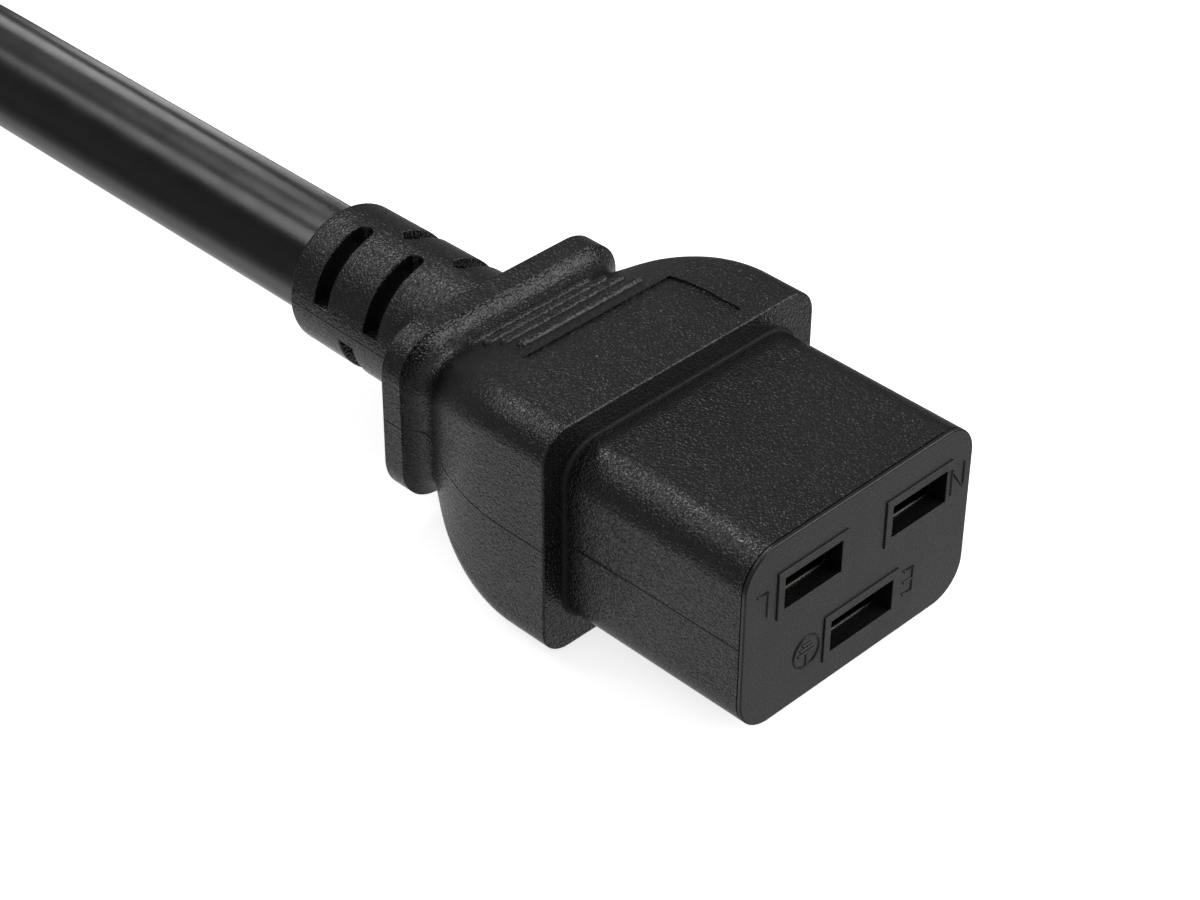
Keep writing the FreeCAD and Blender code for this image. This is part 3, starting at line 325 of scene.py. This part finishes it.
# the rounding of its sewn edges, wherever its faces meet at more than this angle
STRAP_EDGE = 0.2 * MM
STRAP_EDGE_ANGLE = 50.0


def rounded_square_point(distance, half, corner):
    """A point on a rounded square's outline, at a distance along it from the top middle."""
    flat = half - corner
    side = 2.0 * flat + corner * math.pi / 2.0
    distance = (distance + flat) % (4.0 * side)
    number = int(distance // side)
    along = distance - number * side
    if along <= 2.0 * flat:
        local = Vector((along - flat, half))
    else:
        angle = (along - 2.0 * flat) / corner
        local = Vector((flat + corner * math.sin(angle), flat + corner * math.cos(angle)))
    return Matrix.Rotation(-number * math.pi / 2.0, 2) @ local


def make_strap():
    """Hook and loop strap round the turns, with its loose end laid over itself."""
    low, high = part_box("coil_tie")
    middle = (low + high) / 2.0
    half = 2.0 * CORD_RADIUS + STRAP_THICKNESS
    corner = CORD_RADIUS + STRAP_THICKNESS
    squeeze = (half - STRAP_THICKNESS / 2.0) / half
    out = Vector((middle.x - COIL_MIDDLE[0], middle.y - COIL_MIDDLE[1], 0.0)).normalized()
    along = Vector((-out.y, out.x, 0.0))
    round_length = 8.0 * (half - corner) + 2.0 * math.pi * corner
    first = -STRAP_START
    last = round_length + STRAP_END
    lap = round_length - STRAP_START
    shape = bmesh.new()
    rings = []
    for number in range(STRAP_STEPS + 1):
        distance = first + (last - first) * number / STRAP_STEPS
        layer = smooth_step(distance, lap - STRAP_CLIMB[0], lap - STRAP_CLIMB[1])
        ring = []
        for side in (-0.5, 0.5):
            for level in (layer, layer + 1.0):
                rise = (level - 1.0) * STRAP_THICKNESS
                flat = rounded_square_point(distance, half + rise, corner + rise)
                place = middle + out * flat.x + along * side * STRAP_WIDTH
                height = squeeze * (half + flat.y)
                ring.append(shape.verts.new((place.x, place.y, height)))
        rings.append(ring)
    for before, after in zip(rings, rings[1:]):
        for a, b in ((0, 1), (1, 3), (3, 2), (2, 0)):
            shape.faces.new((before[a], before[b], after[b], after[a]))
    for ring in (rings[0], rings[-1]):
        shape.faces.new((ring[0], ring[1], ring[3], ring[2]))
    bmesh.ops.recalc_face_normals(shape, faces=shape.faces)
    mesh = bpy.data.meshes.new("tie_strap")
    shape.to_mesh(mesh)
    shape.free()
    mesh.materials.append(strap_cloth())
    strap = add_object("tie_strap", mesh)
    edge = strap.modifiers.new("sewn edge", "BEVEL")
    edge.width = STRAP_EDGE
    edge.segments = 2
    edge.angle_limit = math.radians(STRAP_EDGE_ANGLE)
    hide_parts("coil_tie")
    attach(strap, "root")
    return strap


# ---------------------------------------------------------------- marks on the socket face

# the pole marks as runs of points, in mm across and up from the middle of the face, and out from
# it: they stand on their heads because the connector lies with its earth slot down, and one
# stroke of the N stands on the frame of its slot
POLE_MARKS = [
    [(-12.4, 4.8, FACE), (-11.2, 4.8, FACE), (-11.2, 2.3, FACE)],
    [(11.14, 2.35, FRAME), (11.14, 4.9, FRAME)],
    [(11.14, 4.9, FRAME), (12.9, 2.35, FACE)],
    [(12.9, 2.35, FACE), (12.9, 4.9, FACE)],
    [(5.95, -2.95, FACE), (7.1, -2.95, FACE), (7.1, -5.4, FACE), (5.95, -5.4, FACE)],
    [(7.1, -4.15, FACE), (5.95, -4.15, FACE)],
    [(-6.05, -5.8, FACE), (-6.05, -4.45, FACE)],
    [(-7.1, -4.45, FACE), (-5.0, -4.45, FACE)],
    [(-6.85, -4.0, FACE), (-5.25, -4.0, FACE)],
    [(-6.55, -3.6, FACE), (-5.55, -3.6, FACE)],
]
EARTH_RING = (-6.05, -4.36)
EARTH_RING_RADIUS = 1.55
RING_POINTS = 40
STROKE_HALF = 0.11


def earth_ring():
    """The ring round the earth sign, as a run of points."""
    ring = []
    for number in range(RING_POINTS):
        angle = 2.0 * math.pi * number / RING_POINTS
        across = EARTH_RING[0] + EARTH_RING_RADIUS * math.cos(angle)
        up = EARTH_RING[1] + EARTH_RING_RADIUS * math.sin(angle)
        ring.append((across, up, FACE))
    return ring


def make_pole_marks(hard_plastic):
    """Raised strokes: the letters for line, neutral and earth, and the sign in its ring."""
    curve = bpy.data.curves.new("pole_marks", "CURVE")
    curve.dimensions = "3D"
    curve.bevel_depth = STROKE_HALF * MM
    curve.bevel_resolution = 2
    curve.use_fill_caps = True
    ring = earth_ring()
    for run in POLE_MARKS + [ring]:
        spline = curve.splines.new("POLY")
        spline.points.add(len(run) - 1)
        for point, (across, up, out) in zip(spline.points, run):
            point.co = (across * MM, FACE_Y - out * MM, AXIS_Z + up * MM, 1.0)
        spline.use_cyclic_u = run is ring
    curve.materials.append(hard_plastic)
    marks = add_object("pole_marks", curve)
    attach(marks, "root")


# ---------------------------------------------------------------- shader helpers

# the values between which nearly all of a noise lies
NOISE_LOW = 0.3
NOISE_HIGH = 0.7


def feed(tree, socket, value):
    """Links another node's output to a socket, or sets the socket to a plain value."""
    if hasattr(value, "is_output"):
        tree.links.new(value, socket)
    else:
        socket.default_value = value


def add_node(tree, kind, settings=None, values=None):
    """A node with its settings and its sockets filled in."""
    node = tree.nodes.new(kind)
    for name, value in (settings or {}).items():
        setattr(node, name, value)
    for name, value in (values or {}).items():
        feed(tree, node.inputs[name], value)
    return node


def new_finish(name, colour):
    """A material of one colour, with its node tree and its Principled node."""
    material = bpy.data.materials.new(name)
    material.use_nodes = True
    tree = material.node_tree
    shader = tree.nodes["Principled BSDF"]
    shader.inputs["Base Color"].default_value = (*colour, 1.0)
    return material, tree, shader


def new_group(name, inputs, outputs):
    """A node group, what it is given and what it puts out; inputs holds (name, kind, value)."""
    group = bpy.data.node_groups.new(name, "ShaderNodeTree")
    for socket_name, kind, value in inputs:
        socket = group.interface.new_socket(socket_name, in_out="INPUT", socket_type=kind)
        if value is not None:
            socket.default_value = value
    for socket_name in outputs:
        group.interface.new_socket(
            socket_name, in_out="OUTPUT", socket_type="NodeSocketFloat"
        )
    given = group.nodes.new("NodeGroupInput")
    result = group.nodes.new("NodeGroupOutput")
    return group, given.outputs, result.inputs


def use_group(tree, group, values):
    """The outputs of a node group placed in a material with its own values."""
    return add_node(tree, "ShaderNodeGroup", {"node_tree": group}, values).outputs


def calculate(tree, operation, first, second=0.0, third=0.0, clamp=False):
    """The result of one sum on values or sockets."""
    settings = {"operation": operation, "use_clamp": clamp}
    values = {0: first, 1: second, 2: third}
    return add_node(tree, "ShaderNodeMath", settings, values).outputs[0]


def split_axes(tree, vector):
    """A vector's three parts."""
    node = add_node(tree, "ShaderNodeSeparateXYZ", None, {"Vector": vector})
    return [node.outputs[axis] for axis in "XYZ"]


def move_or_stretch(tree, operation, vector, by):
    """A vector with each of its parts changed by its own amount."""
    settings = {"operation": operation}
    return add_node(tree, "ShaderNodeVectorMath", settings, {0: vector, 1: by}).outputs["Vector"]


def own_place(tree):
    """The point on the surface, in the connector's frame."""
    return add_node(tree, "ShaderNodeTexCoord").outputs["Object"]


def noise(tree, place, scale, detail, distortion=0.0):
    """A soft noise, whose scale is its swellings to the metre."""
    values = {"Vector": place, "Scale": scale, "Detail": detail, "Distortion": distortion}
    return add_node(tree, "ShaderNodeTexNoise", None, values).outputs["Fac"]


def map_value(tree, value, from_low, from_high, to_low, to_high):
    """A value carried smoothly from one range to another."""
    settings = {"interpolation_type": "SMOOTHSTEP"}
    values = {
        "Value": value,
        "From Min": from_low,
        "From Max": from_high,
        "To Min": to_low,
        "To Max": to_high,
    }
    return add_node(tree, "ShaderNodeMapRange", settings, values).outputs["Result"]


def vary(tree, cloud, low, high):
    """A value between low and high that follows a noise."""
    return map_value(tree, cloud, NOISE_LOW, NOISE_HIGH, low, high)


def roughen(tree, shader, cloud, smoothest, roughest):
    """Makes the roughness follow a noise."""
    feed(tree, shader.inputs["Roughness"], vary(tree, cloud, smoothest, roughest))


def blend_colours(tree, shader, share, first, second):
    """Makes the base colour pass from the first colour to the second by a share."""
    values = {"Factor": share, "A": (*first, 1.0), "B": (*second, 1.0)}
    node = add_node(tree, "ShaderNodeMix", {"data_type": "RGBA"}, values)
    feed(tree, shader.inputs["Base Color"], node.outputs["Result"])


def emboss(tree, shader, height, depth):
    """Turns a height, times a depth, into the shader's normal."""
    bump = add_node(tree, "ShaderNodeBump", None, {"Height": height, "Distance": depth})
    feed(tree, shader.inputs["Normal"], bump.outputs["Normal"])


# ---------------------------------------------------------------- shared effects


def spark_grain_group():
    """Grain that a spark-eroded mould leaves: small worm-like swellings, uneven in their gloss."""
    group, given, result = new_group(
        "spark_grain",
        [("Place", "NodeSocketVector", None), ("Grain Size", "NodeSocketFloat", 0.2 * MM)],
        ["Height", "Unevenness"],
    )
    scale = calculate(group, "DIVIDE", 1.0, given["Grain Size"])
    broader = calculate(group, "MULTIPLY", scale, 0.8)
    worms = noise(group, given["Place"], scale, detail=0.4, distortion=0.8)
    feed(group, result["Height"], worms)
    feed(group, result["Unevenness"], noise(group, given["Place"], broader, detail=1.0))
    return group


def parting_line_group():
    """The fine raised line where the two halves of a mould met, at one height."""
    group, given, result = new_group(
        "parting_line",
        [
            ("Place", "NodeSocketVector", None),
            ("Level", "NodeSocketFloat", 0.0),
            ("Width", "NodeSocketFloat", 0.15 * MM),
        ],
        ["Height"],
    )
    up = split_axes(group, given["Place"])[2]
    away = calculate(group, "ABSOLUTE", calculate(group, "SUBTRACT", up, given["Level"]))
    share = calculate(group, "DIVIDE", away, given["Width"])
    feed(group, result["Height"], calculate(group, "SUBTRACT", 1.0, share, clamp=True))
    return group


def outline_band_group():
    """1 on a rounded rectangle's outline at one place along the connector, 0 away from it.

    Inside the outline it reaches no deeper than the corner's radius.
    """
    group, given, result = new_group(
        "outline_band",
        [
            ("Place", "NodeSocketVector", None),
            ("Along", "NodeSocketFloat", 0.0),
            ("Middle Height", "NodeSocketFloat", 0.0),
            ("Half Width", "NodeSocketFloat", 14.0 * MM),
            ("Half Height", "NodeSocketFloat", 9.0 * MM),
            ("Corner", "NodeSocketFloat", 3.5 * MM),
            ("Reach", "NodeSocketFloat", 0.3 * MM),
        ],
        ["Amount"],
    )
    corner = given["Corner"]

    def past(coordinate, half):
        """How far a point lies past the straight part of one side."""
        inside = calculate(group, "SUBTRACT", half, corner)
        away = calculate(group, "ABSOLUTE", coordinate)
        return calculate(group, "MAXIMUM", calculate(group, "SUBTRACT", away, inside), 0.0)

    across, along, up = split_axes(group, given["Place"])
    height = calculate(group, "SUBTRACT", up, given["Middle Height"])
    wide = past(across, given["Half Width"])
    high = past(height, given["Half Height"])
    square = calculate(group, "MULTIPLY", wide, wide)
    square = calculate(group, "MULTIPLY_ADD", high, high, square)
    outside = calculate(group, "SUBTRACT", calculate(group, "SQRT", square), corner)
    outside = calculate(group, "ABSOLUTE", outside)
    along = calculate(group, "SUBTRACT", along, given["Along"])
    both = calculate(group, "ADD", outside, calculate(group, "ABSOLUTE", along))
    share = calculate(group, "DIVIDE", both, given["Reach"])
    # full over the first half of its reach, and fading over the rest
    feed(group, result["Amount"], map_value(group, share, 0.5, 1.0, 1.0, 0.0))
    return group


def flow_marks_group():
    """Broad, faint changes of gloss where the melt ran and cooled."""
    group, given, result = new_group(
        "flow_marks",
        [("Place", "NodeSocketVector", None), ("Size", "NodeSocketFloat", 8.0 * MM)],
        ["Amount"],
    )
    scale = calculate(group, "DIVIDE", 1.0, given["Size"])
    cloud = noise(group, given["Place"], scale, detail=3.0, distortion=0.4)
    feed(group, result["Amount"], cloud)
    return group


SPARK_GRAIN = spark_grain_group()
PARTING_LINE = parting_line_group()
FLOW_MARKS = flow_marks_group()
OUTLINE_BAND = outline_band_group()

# ---------------------------------------------------------------- finishes

SOFT_BLACK = (0.0036, 0.0036, 0.0038)
HARD_BLACK = (0.005, 0.005, 0.0052)
JACKET_BLACK = (0.0038, 0.0038, 0.004)
STRAP_BLACK = (0.02, 0.02, 0.021)
FLOOR_GREY = (0.86, 0.86, 0.86)
NATURAL_PLASTIC = (0.6, 0.58, 0.52)
TIN = (0.85, 0.78, 0.68)
# tin painted dark as shade, for the strips deep in their slots
SHADED_TIN = (0.012, 0.011, 0.01)
NICKEL = (0.74, 0.72, 0.67)
COPPER = (0.8, 0.45, 0.3)
BROWN = (0.13, 0.05, 0.02)
BLUE = (0.02, 0.1, 0.4)
GREEN = (0.05, 0.3, 0.04)
YELLOW = (0.75, 0.6, 0.04)

# how much paler and rougher a black moulding gets from place to place, and how much rougher in a
# dull band
FLOW_PALER = 1.35
FLOW_ROUGHER = 0.03
GRAIN_ROUGHER = 0.05
BAND_ROUGHER = 0.5

# swellings to the metre
FLOOR_MOTTLE = 40.0
JACKET_GRAIN = 4200.0
JACKET_WAVES = 240.0
STRAP_WEAVE = 1900.0
STRAP_FLUFF = 5200.0

# the height of the jacket's waves, against that of its grain
JACKET_WAVE_HEIGHT = 4.0

# lines to the metre on worked metal, across, along and up, and how much smoother and rougher
# they make it
WORKED_LINES = (9000.0, 500.0, 9000.0)
LINES_SMOOTHER = 0.06
LINES_ROUGHER = 0.08

FLOOR_GLOW = 0.75
STRAP_SHEEN = 0.4


def floor_paint():
    """Pale matt paint with a glow of its own, which keeps it white under soft light."""
    material, tree, shader = new_finish("floor_paint", FLOOR_GREY)
    mottle = noise(tree, own_place(tree), FLOOR_MOTTLE, detail=3.0)
    roughen(tree, shader, mottle, smoothest=0.75, roughest=0.85)
    shader.inputs["Emission Color"].default_value = (1.0, 1.0, 1.0, 1.0)
    shader.inputs["Emission Strength"].default_value = FLOOR_GLOW
    return material


def moulded(name, colour, grain_size, depth, roughness, parting=None, dull_band=None):
    """Black moulded material with spark-eroded grain.

    Where they are given, it has a parting line, of a height against that of the grain, and a
    dull band in an inside corner.
    """
    material, tree, shader = new_finish(name, colour)
    place = own_place(tree)
    grain = use_group(tree, SPARK_GRAIN, {"Place": place, "Grain Size": grain_size})
    flow = use_group(tree, FLOW_MARKS, {"Place": place})["Amount"]
    paler = [FLOW_PALER * part for part in colour]
    blend_colours(tree, shader, vary(tree, flow, 0.0, 1.0), colour, paler)
    spread = vary(tree, grain["Unevenness"], -GRAIN_ROUGHER, GRAIN_ROUGHER)
    gloss = vary(tree, flow, roughness - FLOW_ROUGHER, roughness + FLOW_ROUGHER)
    rough = calculate(tree, "ADD", spread, gloss)
    if dull_band:
        band = use_group(tree, OUTLINE_BAND, {"Place": place, **dull_band})["Amount"]
        rough = calculate(tree, "MULTIPLY_ADD", band, BAND_ROUGHER, rough, clamp=True)
    feed(tree, shader.inputs["Roughness"], rough)
    height = grain["Height"]
    if parting:
        line = use_group(tree, PARTING_LINE, {"Place": place, "Level": AXIS_Z})["Height"]
        height = calculate(tree, "MULTIPLY_ADD", line, parting, height)
    emboss(tree, shader, height, depth)
    return material


def soft_moulding():
    """The skin of the connector and the plug, duller in the corner at the foot of the nose."""
    nose_root = {
        "Along": STEP_Y,
        "Middle Height": AXIS_Z,
        "Half Width": NOSE_HALF_WIDTH,
        "Half Height": NOSE_HALF_HEIGHT,
        "Corner": NOSE_CORNER,
        "Reach": 0.5 * MM,
    }
    return moulded(
        "soft_moulding",
        SOFT_BLACK,
        grain_size=0.24 * MM,
        depth=0.1 * MM,
        roughness=0.22,
        parting=1.2,
        dull_band=nose_root,
    )


def hard_moulding():
    """The harder, finer and duller plastic of the socket face."""
    return moulded(
        "hard_moulding", HARD_BLACK, grain_size=0.18 * MM, depth=0.02 * MM, roughness=0.32
    )


def cord_jacket():
    """Extruded jacket: smoother than the mouldings, with faint waves along it."""
    material, tree, shader = new_finish("cord_jacket", JACKET_BLACK)
    place = own_place(tree)
    grain = noise(tree, place, JACKET_GRAIN, detail=3.0)
    waves = noise(tree, place, JACKET_WAVES, detail=1.0)
    roughen(tree, shader, waves, smoothest=0.2, roughest=0.25)
    height = calculate(tree, "MULTIPLY_ADD", waves, JACKET_WAVE_HEIGHT, grain)
    emboss(tree, shader, height, 0.008 * MM)
    return material


def bare_metal(name, colour, roughness):
    """Stamped or drawn metal with fine lines along the way that it was worked."""
    material, tree, shader = new_finish(name, colour)
    shader.inputs["Metallic"].default_value = 1.0
    stretched = move_or_stretch(tree, "MULTIPLY", own_place(tree), WORKED_LINES)
    lines = noise(tree, stretched, 1.0, detail=3.0)
    roughen(tree, shader, lines, roughness - LINES_SMOOTHER, roughness + LINES_ROUGHER)
    emboss(tree, shader, lines, 0.003 * MM)
    return material


def contact_strip(pole, across, up, width):
    """Tinned strip: its own tin colour at the front edge in the slot, and painted shade, dark tin,
    behind it.
    """
    material = bare_metal(pole + "_tinned_strip", TIN, 0.3)
    tree = material.node_tree
    edge = {
        "Place": move_or_stretch(tree, "SUBTRACT", own_place(tree), (across * MM, 0.0, 0.0)),
        "Along": CONTACT_Y,
        "Middle Height": AXIS_Z + up * MM,
        "Half Width": width / 2 * MM,
        "Half Height": SLOT_HEIGHT / 2,
        "Corner": 0.5 * MM,
        "Reach": 0.12 * MM,
    }
    # 1 along the front edge, where the tin keeps its own colour; behind it the base colour is
    # painted shade
    unshaded_lip = use_group(tree, OUTLINE_BAND, edge)["Amount"]
    blend_colours(tree, tree.nodes["Principled BSDF"], unshaded_lip, SHADED_TIN, TIN)
    return material


def core_cover(name, colour, stripe=None):
    """Smooth core insulation, with a second colour along it where one is given."""
    material, tree, shader = new_finish(name, colour)
    place = own_place(tree)
    cloud = use_group(tree, FLOW_MARKS, {"Place": place, "Size": 2.0 * MM})["Amount"]
    roughen(tree, shader, cloud, smoothest=0.36, roughest=0.46)
    if stripe:
        middle = sum(corner.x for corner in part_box("earth_contact")) / 2.0
        side = calculate(tree, "GREATER_THAN", split_axes(tree, place)[0], middle)
        blend_colours(tree, shader, side, colour, stripe)
    return material


def inner_plastic():
    """The unpainted first shot round the crimps."""
    material, tree, shader = new_finish("inner_plastic", NATURAL_PLASTIC)
    grain = use_group(tree, SPARK_GRAIN, {"Place": own_place(tree), "Grain Size": 0.3 * MM})
    roughen(tree, shader, grain["Unevenness"], smoothest=0.5, roughest=0.6)
    emboss(tree, shader, grain["Height"], 0.006 * MM)
    return material


def strap_cloth():
    """Woven hook and loop tape."""
    material, tree, shader = new_finish("strap_cloth", STRAP_BLACK)
    shader.inputs["Sheen Weight"].default_value = STRAP_SHEEN
    place = own_place(tree)
    weave = add_node(
        tree,
        "ShaderNodeTexVoronoi",
        {"distance": "CHEBYCHEV"},
        {"Vector": place, "Scale": STRAP_WEAVE, "Randomness": 0.45},
    )
    fluff = noise(tree, place, STRAP_FLUFF, detail=4.0)
    roughen(tree, shader, fluff, smoothest=0.8, roughest=0.95)
    height = calculate(tree, "SUBTRACT", fluff, weave.outputs["Distance"])
    emboss(tree, shader, height, 0.12 * MM)
    return material


def dress(finish, *names):
    """Gives CAD nodes their finish."""
    for name in names:
        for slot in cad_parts[name].material_slots:
            slot.material = finish


def dress_pieces(hard_plastic, jacket):
    """Gives each CAD node its finish, but for those that the cord and the strap replace."""
    dress(soft_moulding(), "overmould_housing", "plug_overmould")
    dress(hard_plastic, "contact_carrier", "contact_retainer", "plug_pin_carrier")
    dress(jacket, "cord_end", "plug_cord_end")
    dress(inner_plastic(), "inner_mould")
    for pole, across, up, width in SLOTS:
        dress(contact_strip(pole, across, up, width), pole + "_contact")
    copper = bare_metal("copper_strands", COPPER, 0.3)
    dress(copper, "line_conductor", "neutral_conductor", "earth_conductor")
    dress(core_cover("brown_core", BROWN), "line_insulation")
    dress(core_cover("blue_core", BLUE), "neutral_insulation")
    dress(core_cover("earth_core", GREEN, YELLOW), "earth_insulation")
    plated = bare_metal("nickel_plate", NICKEL, 0.2)
    dress(plated, "plug_line_pin", "plug_neutral_pin", "plug_earth_pin")


# ---------------------------------------------------------------- putting it together

set_camera()
jacket = cord_jacket()
hard_plastic = hard_moulding()
cord = make_cord(make_strap(), jacket)
make_pole_marks(hard_plastic)
lay_floor()
light_studio(cord)
dress_pieces(hard_plastic, jacket)
bpy.context.scene.view_settings.view_transform = "Standard"
